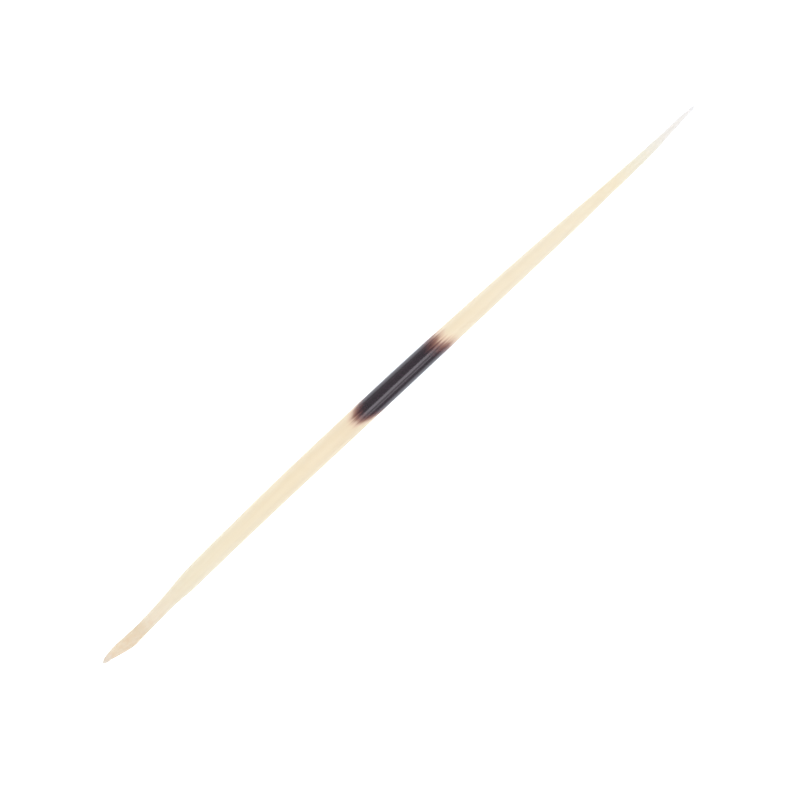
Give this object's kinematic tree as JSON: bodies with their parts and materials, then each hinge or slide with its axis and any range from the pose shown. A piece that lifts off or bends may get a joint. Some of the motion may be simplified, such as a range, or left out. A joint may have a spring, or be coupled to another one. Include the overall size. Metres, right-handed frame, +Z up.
{
  "type": "porcupine quill",
  "caption": "Loose porcupine quill lying down, cream with a dark band round its middle, tapering from a shrivelled root to a needle tip.",
  "frame": {"origin": "on the surface the quill lies on, under the middle of its length and width", "axes": "+X from the root to the needle tip, +Y to the side that the body bows towards, +Z up from the surface"},
  "size_m": [0.21, 0.006, 0.0057],
  "materials": {
    "keratin": "satin keratin, cream, with a near-black band round the middle"
  },
  "bodies": {
    "root": {"quill": "keratin"}
  },
  "joints": []
}
